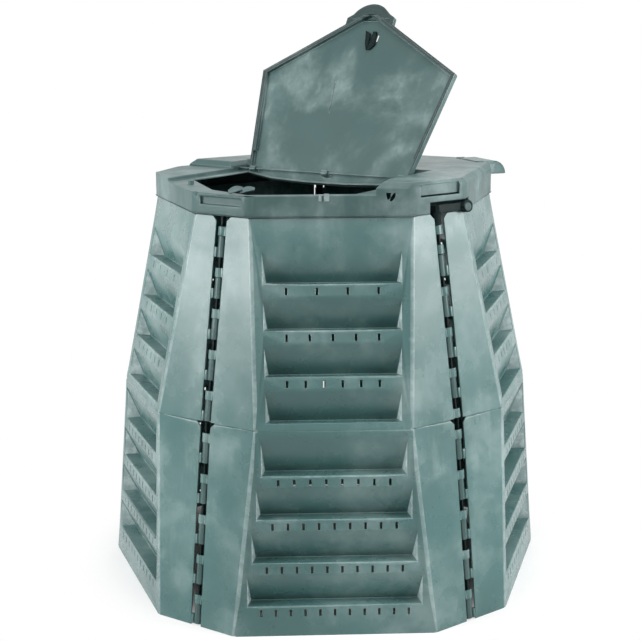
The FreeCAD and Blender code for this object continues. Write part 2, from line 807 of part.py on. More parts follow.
def build_flap():
    """A flat tray with a hem, eyes for the hinge rod and a hand grip at its tip."""
    body = new_body("lid_flap")
    add_block(body, "Plate", "flap_top - flap_skin", "flap_skin", flap_corners("0"))
    add_ring(body, "Hem", "flap_top - flap_hem", "flap_hem - 1", flap_corners("0"),
             flap_corners("flap_skin"))
    for number, (left, width) in enumerate(EYES):
        eye = new_sketch(body, f"Eye{number}", "YZ_Plane", {"Base.z": str(left)})
        add_loop(eye, [("-eye_radius", "flap_top - eye_sink"), ("-eye_radius", "-eye_radius / 2"),
                       ("-eye_radius / 2", "-eye_radius"), ("eye_radius / 2", "-eye_radius"),
                       ("eye_radius", "-eye_radius / 2"), ("eye_radius", "flap_top - eye_sink")])
        pad(body, eye, str(width))
    bore = new_sketch(body, "PinBore", "YZ_Plane", {"Base.z": "-pin_half"})
    add_polygon(bore, ("0", "0"), "pin_fit", 8)
    pocket(body, bore, "2 * pin_half", True)
    top = new_sketch(body, "GripTop", "XY_Plane", level("flap_top - flap_skin"))
    add_bow(top, "0")
    pad(body, top, "flap_skin")
    wall = new_sketch(body, "GripWall", "XY_Plane", level("flap_grip_foot"))
    add_bow(wall, "0")
    add_bow(wall, "flap_skin")
    last = pad(body, wall, "flap_top - 1 - flap_grip_foot")
    last.Refine = True
    body.Placement = flap_place()
    return body


def build_hinge_pin():
    body = new_body("flap_hinge_rod")
    section = new_sketch(body, "Section", "YZ_Plane", {"Base.z": "-pin_half"})
    add_circle(section, ("0", "flap_level"), "pin_radius")
    pad(body, section, "2 * pin_half")
    body.Placement = FreeCAD.Placement(Vector(0, size("middle_y"), 0),
                                       FreeCAD.Rotation(Vector(0, 0, 1), LID_TURN))
    return body


# ---- Assembly ----------------------------------------------------------------------------------

LEAST_CHANGE = 1
pieces = []
for tier in (Tier("lower"), Tier("upper")):
    for number, name in enumerate(PANELS):
        pieces.append(build_panel(tier, name, 72 * number))
        doc.recompute()
    for corner in CORNERS:
        if (tier.name, corner) == ("upper", "front_right"):
            pieces.append(build_handle_rod(tier))
            pieces.append(build_handle_cap(tier))
        else:
            pieces.append(build_rod(tier, corner))
pieces += [build_lid(), build_flap(), build_hinge_pin()]
doc.recompute()

for thing in doc.Objects:
    if {"Invalid", "Error"} & set(thing.State):
        raise RuntimeError(f"{thing.Label} failed: {thing.State}")
for piece in pieces:
    shape = piece.Shape
    if shape.isNull() or not shape.isValid() or len(shape.Solids) != 1:
        raise RuntimeError(f"{piece.Label} is not one valid solid")
    before = 0
    for feature in piece.Group:
        if feature.isDerivedFrom("PartDesign::Feature"):
            if abs(feature.Shape.Volume - before) < LEAST_CHANGE:
                raise RuntimeError(f"{piece.Label}: {feature.Label} changes nothing")
            before = feature.Shape.Volume

os.makedirs("parts", exist_ok=True)
for piece in pieces:
    piece.Shape.exportStep(f"parts/{piece.Label}.step")
print(len(pieces), "pieces written")
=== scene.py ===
import json
import math

import bmesh
import bpy
from mathutils import Matrix, Vector

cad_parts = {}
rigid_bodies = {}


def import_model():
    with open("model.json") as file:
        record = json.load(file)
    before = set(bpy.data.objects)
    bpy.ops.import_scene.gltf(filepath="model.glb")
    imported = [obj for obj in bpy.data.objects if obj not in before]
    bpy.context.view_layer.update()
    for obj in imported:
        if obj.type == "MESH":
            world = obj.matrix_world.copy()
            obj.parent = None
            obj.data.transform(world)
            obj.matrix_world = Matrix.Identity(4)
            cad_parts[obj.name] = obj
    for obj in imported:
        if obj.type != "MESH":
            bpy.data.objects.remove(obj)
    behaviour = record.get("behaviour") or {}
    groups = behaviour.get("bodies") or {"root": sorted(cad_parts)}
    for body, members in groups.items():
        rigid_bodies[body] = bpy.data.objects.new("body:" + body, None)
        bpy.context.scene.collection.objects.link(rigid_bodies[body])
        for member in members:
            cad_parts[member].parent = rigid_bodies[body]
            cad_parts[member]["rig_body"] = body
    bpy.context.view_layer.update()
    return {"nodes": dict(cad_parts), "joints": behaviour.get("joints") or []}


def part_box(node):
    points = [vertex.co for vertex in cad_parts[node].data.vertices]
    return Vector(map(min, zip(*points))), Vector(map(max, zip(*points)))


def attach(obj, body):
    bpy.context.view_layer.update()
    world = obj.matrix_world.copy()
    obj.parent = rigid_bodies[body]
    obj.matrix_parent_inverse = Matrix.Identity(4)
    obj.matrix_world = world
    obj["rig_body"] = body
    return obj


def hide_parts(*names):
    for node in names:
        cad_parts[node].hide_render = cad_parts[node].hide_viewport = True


bl_info = {
    "name": "Compost bin",
    "version": (1, 0, 0),
    "blender": (4, 5, 0),
    "location": "View3D > Sidebar > Bin",
    "description": "Dresses a five-sided bin: louvred walls, locking rods and a lid with a flap",
    "category": "Object",
}

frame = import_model()
NODES = frame["nodes"]
JOINTS = {joint["name"]: joint for joint in frame["joints"]}

HANDLE = "upper_front_right_handle"
PANELS = [name for name in NODES if name.endswith("_panel")]
RODS = [name for name in NODES if name.endswith("_rod") and name != "flap_hinge_rod"] + [HANDLE]

# the middle of the five sides, and the places that the lid and its flap are drawn in
HINGE_LOW, HINGE_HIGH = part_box("flap_hinge_rod")
MIDDLE = Vector((0, (HINGE_LOW.y + HINGE_HIGH.y) / 2, 0))
LID_TURN = math.radians(144)
FLAP_OPEN = math.radians(119)
LID_PLACE = Matrix.Translation(MIDDLE) @ Matrix.Rotation(LID_TURN, 4, "Z")
FLAP_PLACE = (LID_PLACE @ Matrix.Translation((0, 0, JOINTS["flap_hinge"]["pos_m"][2]))
              @ Matrix.Rotation(FLAP_OPEN, 4, "X"))
PANEL_TURNS = {"front": 0, "right": 72, "back_right": 144, "back_left": 216, "left": 288}

# corners this near are one, and facets within this turn are one face
MERGE = 1e-5
FLAT = math.radians(0.5)
# an edge that turns further than the first is rounded, and than the second is shaded sharp
ROUNDED_TURN = math.radians(32)
SHARP_TURN = math.radians(50)


# ---- Settings ----------------------------------------------------------------------------------

def length(name, text, default):
    return bpy.props.FloatProperty(name=name, description=text, default=default, unit="LENGTH")


def colour(name, text, default):
    return bpy.props.FloatVectorProperty(name=name, description=text, default=default, size=3,
                                         subtype="COLOR", min=0, max=1)


def share(name, text, default):
    return bpy.props.FloatProperty(name=name, description=text, default=default, min=0, max=1,
                                   subtype="FACTOR")


def angle(name, text, degrees):
    return bpy.props.FloatProperty(name=name, description=text, default=math.radians(degrees),
                                   subtype="ANGLE")


def power(name, text, default):
    return bpy.props.FloatProperty(name=name, description=text, default=default, unit="POWER")


class BIN_wall_settings(bpy.types.PropertyGroup):
    plastic: colour("Plastic", "Colour of the moulded walls", (0.052, 0.124, 0.12))
    bloom: colour("Bloom", "Colour of the cloudy bloom on the walls", (0.26, 0.345, 0.34))
    # pale paint for marked edges, part wear and part painted highlight
    wear_and_highlight_tint: colour("Worn edge", "Colour of rubbed edges", (0.46, 0.54, 0.54))
    bloom_share: share("Bloom share", "How strongly the bloom covers the walls", 0.42)
    roughness: share("Roughness", "Mean roughness of the walls", 0.27)
    gloss: share("Gloss", "Specular level of the walls", 0.44)
    edge: length("Edge", "Rounding of the small edges", 0.0016)
    ledge: length("Ledge", "Rounding along the top of each ledge", 0.004)
    corner: length("Corner", "Rounding where the face turns into the wings", 0.006)


class BIN_rod_settings(bpy.types.PropertyGroup):
    plastic: colour("Plastic", "Colour of the rods and the handle", (0.009, 0.016, 0.016))
    cap: colour("Cap", "Colour of the disc in the handle's boss", (0.055, 0.085, 0.083))
    edge: length("Edge", "Rounding of the edges", 0.0006)


class BIN_lid_settings(bpy.types.PropertyGroup):
    plastic: colour("Plastic", "Colour of the lid and its flap", (0.045, 0.088, 0.086))
    bloom_share: share("Bloom share", "How strongly the bloom covers the lid", 0.5)
    roughness: share("Roughness", "Mean roughness of the lid", 0.42)
    gloss: share("Gloss", "Specular level of the lid", 0.3)
    edge: length("Edge", "Rounding of the edges", 0.003)
    corner: length("Corner", "Rounding of the skirt's corners", 0.016)


class BIN_stage_settings(bpy.types.PropertyGroup):
    camera_place: bpy.props.FloatVectorProperty(
        name="Camera place", description="Where the camera stands", size=3, unit="LENGTH",
        default=(-0.1431, -3.8613, 1.5264))
    camera_pitch: angle("Camera pitch", "How far the camera looks down", 12.1)
    camera_yaw: angle("Camera yaw", "How far the camera turns left", -1.92)
    camera_roll: angle("Camera roll", "How far the camera leans", -0.31)
    lens: bpy.props.FloatProperty(name="Lens", description="Focal length of the camera",
                                  default=77.0, min=10, unit="CAMERA")
    side_power: power("Side lights", "Power of each side softbox", 122.0)
    top_power: power("Top light", "Power of the overhead softbox", 52.0)
    front_power: power("Front light", "Power of the front fill", 26.0)
    back_power: power("Back light", "Power of the light behind", 46.0)
    world_level: share("World level", "Brightness of the studio around the object", 0.05)


# ---- Materials ---------------------------------------------------------------------------------

class Nodes:
    """Adds nodes to the tree of a material or the world and links them."""

    def __init__(self, tree):
        self.tree = tree

    def add(self, kind, inputs=None, **settings):
        node = self.tree.nodes.new(kind)
        for name, value in settings.items():
            setattr(node, name, value)
        for name, value in (inputs or {}).items():
            self.put(node.inputs[name], value)
        return node

    def put(self, socket, value):
        if isinstance(value, bpy.types.NodeSocket):
            self.tree.links.new(value, socket)
        elif socket.type == "RGBA" and len(value) == 3:
            socket.default_value = (*value, 1)
        else:
            socket.default_value = value

    def maths(self, operation, first, second):
        return self.add("ShaderNodeMath", {0: first, 1: second}, operation=operation).outputs[0]

    def mix_shaders(self, factor, first, second):
        return self.add("ShaderNodeMixShader", {0: factor, 1: first, 2: second}).outputs[0]

    def white_for_the_eye(self, shader, white_kind):
        """Show white to camera, mirror and glass rays, and the given shader to all others."""
        rays = self.add("ShaderNodeLightPath").outputs
        mirrored = self.maths("MAXIMUM", rays["Is Glossy Ray"], rays["Is Transmission Ray"])
        seen = self.maths("MAXIMUM", rays["Is Camera Ray"], mirrored)
        white = self.add(white_kind, {"Color": (1, 1, 1)})
        return self.mix_shaders(seen, shader, white.outputs[0])


class Recipe(Nodes):
    """Builds one new material on the object's own coordinates."""

    def __init__(self, name):
        self.material = bpy.data.materials.new(name)
        self.material.use_nodes = True
        super().__init__(self.material.node_tree)
        self.shader = self.tree.nodes["Principled BSDF"]
        self.place = self.add("ShaderNodeTexCoord").outputs["Object"]

    def set(self, **inputs):
        for name, value in inputs.items():
            self.put(self.shader.inputs[name.replace("_", " ")], value)

    def noise(self, scale, detail=4.0, roughness=0.6, distortion=0.0, stretch=(1, 1, 1)):
        place = self.add("ShaderNodeMapping", {"Vector": self.place, "Scale": stretch})
        node = self.add("ShaderNodeTexNoise", {
            "Vector": place.outputs["Vector"], "Scale": scale, "Detail": detail,
            "Roughness": roughness, "Distortion": distortion})
        return node.outputs["Fac"]

    def ramp(self, value, low, high, to_low=0.0, to_high=1.0, kind="SMOOTHSTEP"):
        """Map a value from one range to another and clamp it."""
        node = self.add("ShaderNodeMapRange", {
            "Value": value, "From Min": low, "From Max": high, "To Min": to_low,
            "To Max": to_high}, interpolation_type=kind)
        return node.outputs["Result"]

    def mix(self, factor, first, second):
        node = self.add("ShaderNodeMix", {0: factor, 6: first, 7: second}, data_type="RGBA")
        return node.outputs[2]

    def bump(self, height, strength, distance):
        node = self.add("ShaderNodeBump", {
            "Height": height, "Strength": strength, "Distance": distance})
        return node.outputs["Normal"]

    def painted(self, kind):
        """How much the faces are marked for wear and painted highlight, or for painted shade."""
        return self.add("ShaderNodeAttribute", attribute_name=kind).outputs["Fac"]


# specular level of the rods, the handle and the latch
DULL_GLOSS = 0.04


def scaled(tint, amount):
    return tuple(amount * part for part in tint)


def bloomed_plastic(name, look, walls):
    """Moulded polyethylene with a cloudy bloom, faint streaks, pale edges that are part wear and
    part painted highlight, and painted shade.
    """
    made = Recipe(name)
    plastic = tuple(look.plastic)
    patches = made.ramp(made.noise(4.2, detail=5.0, roughness=0.58, distortion=0.25),
                        low=0.42, high=0.62)
    clouds = made.ramp(made.noise(9.0, detail=6.0, roughness=0.62, distortion=0.2),
                       low=0.38, high=0.7, to_low=0.25)
    streaks = made.ramp(made.noise(26.0, distortion=0.15, stretch=(1, 1, 0.14)),
                        low=0.52, high=0.74, to_high=0.45)
    cover = made.maths("MULTIPLY", patches, made.maths("ADD", clouds, streaks))
    cover = made.maths("MULTIPLY", cover, look.bloom_share)
    tone = made.ramp(made.noise(1.6, detail=3.0), low=0.3, high=0.7)
    deep = made.mix(tone, scaled(plastic, 0.86), scaled(plastic, 1.1))
    body = made.mix(cover, deep, tuple(walls.bloom))

    # pale paint on marked faces: part wear, part painted highlight
    wear_and_highlight_spots = made.ramp(made.noise(38.0, detail=5.0, roughness=0.7),
                     low=0.4, high=0.66, to_low=0.45, to_high=0.95)
    body = made.mix(made.maths("MULTIPLY", made.painted("rubbed"), wear_and_highlight_spots), body, tuple(walls.wear_and_highlight_tint))
    # marked faces are darkened towards deep plastic: painted shade
    body = made.mix(made.painted("grimed"), body, scaled(plastic, 0.3))

    grain = made.noise(620.0, detail=2.0)
    waves = made.maths("MULTIPLY", made.noise(7.0, detail=2.0), 6.0)
    relief = made.bump(made.maths("ADD", waves, grain), strength=0.35, distance=0.0006)
    rough = made.ramp(made.noise(9.0), low=0.3, high=0.7,
                      to_low=look.roughness - 0.06, to_high=look.roughness + 0.08)
    made.set(Base_Color=body, Roughness=rough, Normal=relief, Specular_IOR_Level=look.gloss)
    return made.material


def plain_plastic(name, tint, roughness):
    """Dull moulded plastic with a light scuffing."""
    made = Recipe(name)
    scuffed = tuple(min(1.0, 2.2 * part + 0.02) for part in tint)
    scuffs = made.ramp(made.noise(60.0, detail=5.0, roughness=0.7, distortion=0.6),
                       low=0.45, high=0.7, to_high=0.35)
    body = made.mix(scuffs, tint, scuffed)
    relief = made.bump(made.noise(500.0, detail=2.0), strength=0.25, distance=0.0003)
    rough = made.ramp(made.noise(30.0, detail=3.0), low=0.3, high=0.7,
                      to_low=roughness - 0.08, to_high=roughness + 0.08)
    made.set(Base_Color=body, Roughness=rough, Normal=relief, Specular_IOR_Level=DULL_GLOSS)
    return made.material


# ---- Mesh helpers ------------------------------------------------------------------------------

def new_shape():
    """An empty bmesh whose faces can be marked for wear and painted highlight, or for painted
    shade.
    """
    shape = bmesh.new()
    for kind in ("rubbed", "grimed"):
        shape.faces.layers.float.new(kind)
    return shape


def mark(shape, kind, amount, faces):
    """Say how much some faces get wear and painted highlight, or painted shade."""
    layer = shape.faces.layers.float[kind]
    for face in faces:
        face[layer] = amount


def merged_copy(node):
    """The mesh of a CAD node with its corners merged and its flat facets joined."""
    shape = new_shape()
    shape.from_mesh(NODES[node].data)
    bmesh.ops.remove_doubles(shape, verts=shape.verts, dist=MERGE)
    bmesh.ops.dissolve_limit(shape, angle_limit=FLAT, verts=shape.verts, edges=shape.edges)
    bmesh.ops.triangulate(shape, faces=shape.faces)
    return shape


def sharp_edges(shape, least_length, least_turn=ROUNDED_TURN):
    return [edge for edge in shape.edges
            if len(edge.link_faces) == 2
            and edge.calc_length() > least_length
            and edge.calc_face_angle(0) > least_turn]


def drop(edge):
    """How far one end of an edge lies above the other."""
    return abs(edge.verts[0].co.z - edge.verts[1].co.z)


def bevel(shape, edges, width, segments, clamp=False):
    """Bevel the edges and give back the new faces."""
    made = bmesh.ops.bevel(shape, geom=edges, offset=width, offset_type="OFFSET",
                           segments=segments, profile=0.5, affect="EDGES",
                           clamp_overlap=clamp, material=-1)
    return made["faces"]


def round_edges(shape, edges, width, segments, wear_and_highlight_share=1.0):
    """Bevel the edges and mark how much the new faces are painted pale, part wear and part
    painted highlight.
    """
    mark(shape, "rubbed", wear_and_highlight_share, bevel(shape, edges, width, segments))


def soften(shape, width):
    """Bevel every edge of a small shape as far as there is room."""
    bevel(shape, list(shape.edges), width, segments=2, clamp=True)


def combine(shape, tool, operation):
    """Cut one closed bmesh out of another, or join the two."""
    things = []
    for source in (shape, tool):
        mesh = bpy.data.meshes.new("blank")
        source.to_mesh(mesh)
        source.free()
        things.append(bpy.data.objects.new("blank", mesh))
        bpy.context.scene.collection.objects.link(things[-1])
    joint = things[0].modifiers.new("joint", "BOOLEAN")
    joint.object = things[1]
    joint.operation = operation
    joint.solver = "EXACT"
    result = bmesh.new()
    result.from_object(things[0], bpy.context.evaluated_depsgraph_get())
    for thing in things:
        mesh = thing.data
        bpy.data.objects.remove(thing)
        bpy.data.meshes.remove(mesh)
    bmesh.ops.remove_doubles(result, verts=result.verts, dist=MERGE)
    return result


def thicken(shape, height):
    """Extrude a flat shape upwards into a closed one."""
    made = bmesh.ops.extrude_face_region(shape, geom=list(shape.faces))
    tops = [item for item in made["geom"] if isinstance(item, bmesh.types.BMVert)]
    bmesh.ops.translate(shape, verts=tops, vec=(0, 0, height))


def flat_face(shape, outline, level):
    """A face over an outline, both in millimetres."""
    return shape.faces.new([shape.verts.new((x / 1000, y / 1000, level / 1000))
                            for x, y in outline])


def prism(outline, levels, place):
    """A closed prism over an outline between two levels in millimetres, put in its place."""
    low, high = levels
    shape = new_shape()
    flat_face(shape, outline, low)
    thicken(shape, (high - low) / 1000)
    bmesh.ops.recalc_face_normals(shape, faces=shape.faces)
    shape.transform(place)
    return shape


def cut_out(shape, outline, levels, place):
    """Cut a prism over an outline out of a shape."""
    return combine(shape, prism(outline, levels, place), "DIFFERENCE")


def add_detail(name, shape, node, material):
    """Make an object from a bmesh that moves with the body of a CAD node."""
    mesh = bpy.data.meshes.new(name)
    shape.to_mesh(mesh)
    shape.free()
    mesh.materials.append(material)
    mesh.shade_smooth()
    mesh.set_sharp_from_angle(angle=SHARP_TURN)
    piece = bpy.data.objects.new(name, mesh)
    bpy.context.scene.collection.objects.link(piece)
    normals = piece.modifiers.new("Flat faces", "WEIGHTED_NORMAL")
    normals.keep_sharp = True
    normals.weight = 100
    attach(piece, NODES[node]["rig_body"])
    return piece


def add_piece(name, shape, node, material):
    """Make an object from a bmesh that stands for a CAD node and moves with its body."""
    piece = add_detail(name, shape, node, material)
    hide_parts(node)


# ---- Walls -------------------------------------------------------------------------------------

# a face looks outwards, or along the wall, when this much of its normal does
OUTWARDS = 0.2
ALONG = 0.7
# where the end walls of the recesses lie sideways of the middle, and their least area
RECESS_ENDS = (0.12, 0.25)
RECESS_END_AREA = 5e-4
# an edge whose ends differ less in height is level
LEVEL = 1e-4
# the most that the outside edges turn at a panel's corners and the lid's
CORNER_TURN = math.radians(60)
# points this near to the end of a rod belong to that end
ROD_END = 0.012
# the long hinge barrels: how far they reach from the rod, and their least length
BARREL_REACH = 0.0175
BARREL_LENGTH = 0.035
# a ledge is at least this long, and lies this far inside the top and bottom of its panel
LEDGE_LENGTH = 0.25
LEDGE_INSET = 0.02
# a rim is at least this long, and lies this near to the top of its panel
RIM_LENGTH = 0.1
RIM_INSET = 0.002
# the two half bands over the handle's rod: their levels, inner and outer radius, and turn
BAND_LEVELS = ((0.9555, 0.978), (1.005, 1.027))
BAND_RADII = (0.0105, 0.0145)
BAND_TURN = math.radians(190)


def faces_out(face):
    """Whether a face of a wall points away from the middle of the bin."""
    away = face.calc_center_median() - MIDDLE
    return face.normal.x * away.x + face.normal.y * away.y > OUTWARDS * away.length


def wall_corners(shape, low, high):
    """The long edges on the outside where a panel's face turns into its wings."""
    least = 0.8 * (high - low)
    return [edge for edge in sharp_edges(shape, least, math.radians(20))
            if all(faces_out(face) for face in edge.link_faces)
            and edge.calc_face_angle(0) < CORNER_TURN
            and drop(edge) > least]


def level_edges(shape, least_length):
    """Long level edges that stand out, with one face on the outside of the wall."""
    return [edge for edge in sharp_edges(shape, least_length, math.radians(55))
            if drop(edge) < LEVEL
            and edge.is_convex
            and faces_out(edge.link_faces[0]) != faces_out(edge.link_faces[1])]


def panel_sideways(name):
    """The level direction along a wall panel."""
    turn = PANEL_TURNS[name.split("_", 1)[1].removesuffix("_panel")]
    return Matrix.Rotation(math.radians(turn), 3, "Z") @ Vector((1, 0, 0))


def recess_ends(shape, sideways):
    """The two end walls of each recess, which are painted pale as a highlight."""
    found = []
    for face in shape.faces:
        side = (face.calc_center_median() - MIDDLE).dot(sideways)
        inwards = -math.copysign(1, side) * face.normal.dot(sideways)
        if (inwards > ALONG and RECESS_ENDS[0] < abs(side) < RECESS_ENDS[1]
                and face.calc_area() > RECESS_END_AREA):
            found.append(face)
    return found


def rod_line(node):
    """A point on the leaning axis of a locking rod, and the axis upwards."""
    if node == HANDLE:
        foot, axis = (Vector(JOINTS["handle_turn"][key]) for key in ("pos_m", "axis"))
        return foot, -axis if axis.z < 0 else axis
    points = [vertex.co for vertex in NODES[node].data.vertices]
    ends = [[point for point in points if abs(point.z - corner.z) < ROD_END]
            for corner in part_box(node)]
    foot, head = (sum(end, Vector()) / len(end) for end in ends)
    return foot, (head - foot).normalized()


def barrels(shape, lines):
    """The long hinge barrels round the rods, which are painted darker as shade."""
    found = []
    for face in shape.faces:
        levels = [vertex.co.z for vertex in face.verts]
        if max(levels) - min(levels) > BARREL_LENGTH:
            middle = face.calc_center_median()
            if any((middle - foot).cross(axis).length < BARREL_REACH for foot, axis in lines):
                found.append(face)
    return found


def half_band(foot, axis, low, high):
    """A half band round a leaning rod, between two levels, on the outside of the wall."""
    outwards = Vector((foot.x, foot.y, 0)) - MIDDLE
    outwards = (outwards - axis * outwards.dot(axis)).normalized()
    start = foot + axis * ((low - foot.z) / axis.z)
    rise = axis * ((high - low) / axis.z)
    inner, outer = (start + Matrix.Rotation(-BAND_TURN / 2, 3, axis) @ outwards * radius
                    for radius in BAND_RADII)
    shape = new_shape()
    face = shape.faces.new([shape.verts.new(corner)
                            for corner in (inner, outer, outer + rise, inner + rise)])
    bmesh.ops.spin(shape, geom=[face], cent=start, axis=axis, dvec=(0, 0, 0), angle=BAND_TURN,
                   steps=10, use_merge=False, use_duplicate=False)
    bmesh.ops.recalc_face_normals(shape, faces=shape.faces)
    return shape


class BIN_OT_walls(bpy.types.Operator):
    """Round and finish the ten louvred wall panels and add the bands at the handle"""
    bl_idname = "bin.walls"
    bl_label = "Wall panels"

    def execute(self, context):
        look = context.scene.bin_walls
        material = bloomed_plastic("wall plastic", look, look)
        for name in PANELS:
            low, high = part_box(name)
            shape = merged_copy(name)
            corners = wall_corners(shape, low.z, high.z)
            if len(corners) != 2:
                raise RuntimeError(f"{name} has {len(corners)} long corners")
            # the end walls of the recesses get pale paint: a painted highlight
            mark(shape, "rubbed", 1.0, recess_ends(shape, panel_sideways(name)))
            tier = name.split("_")[0]
            lines = [rod_line(rod) for rod in RODS if rod.startswith(tier)]
            # the long hinge barrels are painted darker: painted shade
            mark(shape, "grimed", 0.6, barrels(shape, lines))
            # the rounded corners, ledges and rims get pale paint: part wear, part painted
            # highlight
            round_edges(shape, corners, look.corner, segments=3, wear_and_highlight_share=0.4)
            ledges = [edge for edge in level_edges(shape, LEDGE_LENGTH)
                      if low.z + LEDGE_INSET < edge.verts[0].co.z < high.z - LEDGE_INSET]
            round_edges(shape, ledges, look.ledge, segments=3, wear_and_highlight_share=0.3)
            rims = [edge for edge in level_edges(shape, RIM_LENGTH)
                    if edge.verts[0].co.z > high.z - RIM_INSET]
            round_edges(shape, rims, look.ledge, segments=2, wear_and_highlight_share=0.35)
            rest = sharp_edges(shape, least_length=0.012)
            round_edges(shape, rest, look.edge, segments=2, wear_and_highlight_share=0.05)
            add_piece(name + "_shell", shape, name, material)

        for number, (low, high) in enumerate(BAND_LEVELS, 1):
            add_detail(f"handle_corner_band_{number}", half_band(*rod_line(HANDLE), low, high),
                       "upper_front_panel", material)
        return {"FINISHED"}


# ---- Rods and handle ---------------------------------------------------------------------------

# the seat of the disc in the handle's boss: its radius, and its ends from the disc's middle
SEAT_RADIUS = 0.0113
SEAT_BACK = -0.0014
SEAT_FRONT = 0.006


def disc_seat():
    """A cylinder round the disc in the handle's boss that comes out through the boss's front."""
    disc = merged_copy("handle_cap")
    disc.normal_update()
    middle = sum((vert.co for vert in disc.verts), Vector()) / len(disc.verts)
    # of all the disc's faces, its front looks furthest to the front of the bin
    outwards = min((face.normal.copy() for face in disc.faces), key=lambda normal: normal.y)
    disc.free()
    seat = new_shape()
    bmesh.ops.create_cone(seat, cap_ends=True, segments=48, radius1=SEAT_RADIUS,
                          radius2=SEAT_RADIUS, depth=SEAT_FRONT - SEAT_BACK)
    seat.transform(Matrix.Translation(middle + (SEAT_BACK + SEAT_FRONT) / 2 * outwards)
                   @ outwards.to_track_quat("Z", "Y").to_matrix().to_4x4())
    return seat


class BIN_OT_rods(bpy.types.Operator):
    """Round and finish the locking rods and the handle with its disc"""
    bl_idname = "bin.rods"
    bl_label = "Rods and handle"

    def execute(self, context):
        look = context.scene.bin_rods
        material = plain_plastic("rod plastic", tuple(look.plastic), roughness=0.42)
        for name in RODS:
            shape = merged_copy(name)
            if name == HANDLE:
                shape = combine(shape, disc_seat(), "DIFFERENCE")
                bmesh.ops.triangulate(shape, faces=shape.faces)
            edges = sharp_edges(shape, least_length=0.003)
            round_edges(shape, edges, look.edge, segments=2)
            add_piece(name + "_moulding", shape, name, material)
        material = plain_plastic("cap plastic", tuple(look.cap), roughness=0.38)
        add_piece("handle_cap_disc", merged_copy("handle_cap"), "handle_cap",
                  material)
        return {"FINISHED"}


# ---- Lid and flap ------------------------------------------------------------------------------

# the upright edges of the skirt's five cut corners
SKIRT_CORNERS = 10

# Outlines of the flap are in millimetres across and out from the middle of its hinge. Their
# levels go up from the rim of its hem, through the plate at 16.
# the latch's legs are dark plastic that stands for the shade in the latch's V-shaped hole:
# painted shade
LATCH_SHADE_LEGS = {
    "flap_latch_left_leg": [(6, 449), (-9, 441), (-13, 407), (-10, 392), (-3, 408)],
    "flap_latch_right_leg": [(-20, 447), (-29, 446), (-34, 406), (-22, 392), (-12, 393),
                             (-14, 404)],
}
LATCH_LEVELS = (9.5, 14.9)
LATCH_SLOT = [(-33, 440), (-39, 437), (-37, 417), (-31, 419)]
SLOT_LEVELS = (0, 30)
FLAP_LINE = [(66, 285), (63, 254), (58, 216), (58, 194), (56, 194), (56, 216), (61, 254),
             (64, 285)]
LINE_LEVELS = (0, 16.2)
# the band along the inside of the hem
HEM_INSIDE = [(-265, -12), (265, -12), (324, 316), (0, 514), (-324, 316)]
HEM_LEVELS = (2.5, 16)
HEM_GAP = 0.001
HEM_WIDTH = 0.012
HEM_START = 0.06
# the rim of the hem and the band look down, below this level and away from the hinge
RIM_LEVEL = 0.0045
RIM_START = 0.04
# the grip at the tip: the arc and shoulders of its outline, and what is cut away for it
GRIP_RADIUS = 69.8
GRIP_REACH = 530.7
GRIP_SPREAD = math.radians(52)
GRIP_SHOULDER = [(80, 467), (80, 489)]
GRIP_LEVELS = (3.5, 18.5)
WITHIN_FLAP = [(0, 507), (-324, 308.5), (-324, 200), (324, 200), (324, 308.5)]
WITHIN_LEVELS = (-10, 30)
BELOW_GRIP = [(-120, 462), (120, 462), (120, 560), (-120, 560)]
BELOW_LEVELS = (-40, 1.5)
HEM_TIP = [(0, 499), (-78, 451.2), (78, 451.2)]
TIP_LEVELS = (-40, 15)

# Outlines on the front skirt of the lid are in millimetres across and up, and their levels go
# out of it.
FRONT_PLACE = (Matrix.Translation((0, MIDDLE.y - 0.437, 0))
               @ Matrix.Rotation(math.radians(90), 4, "X"))
FRONT_WEDGES = [[(136, 1121), (148, 1119), (148, 1108), (141, 1101), (138, 1110)],
                [(153, 1119), (161, 1121), (159, 1108), (151, 1098), (145, 1099)]]
WEDGE_LEVELS = (-30, 12)
FRONT_POSTS = [[(-32, 1100), (-25, 1100), (-25, 1117), (-32, 1117)],
               [(-19, 1100), (-6, 1100), (-6, 1119), (-19, 1119)]]
POST_LEVELS = (-4, 3)

# the stud on the rim
STUD_PLACE = (0.2, 0.345, 1.1175)
STUD_RADII = (0.0085, 0.0075)
STUD_HEIGHT = 0.017
# where each curled lip of the rim starts and ends, in millimetres, and its form
LIPS = [((-15, 458, 1116), (-36, 424, 1124)), ((-33, 436, 1116), (-73, 427, 1124))]
LIP_WIDTH = 0.018
LIP_THICKNESS = 0.0018
LIP_TILT = math.radians(38)
LIP_CUP = 0.004
LIP_ARCH = 0.003


def skirt_corners(shape):
    """The upright edges on the outside where one side of the lid's skirt meets the next."""
    return [edge for edge in sharp_edges(shape, 0.03, math.radians(25))
            if edge.calc_face_angle(0) < CORNER_TURN
            and all(faces_out(face) and abs(face.normal.z) < 0.2 for face in edge.link_faces)
            and drop(edge) > 0.9 * edge.calc_length()]


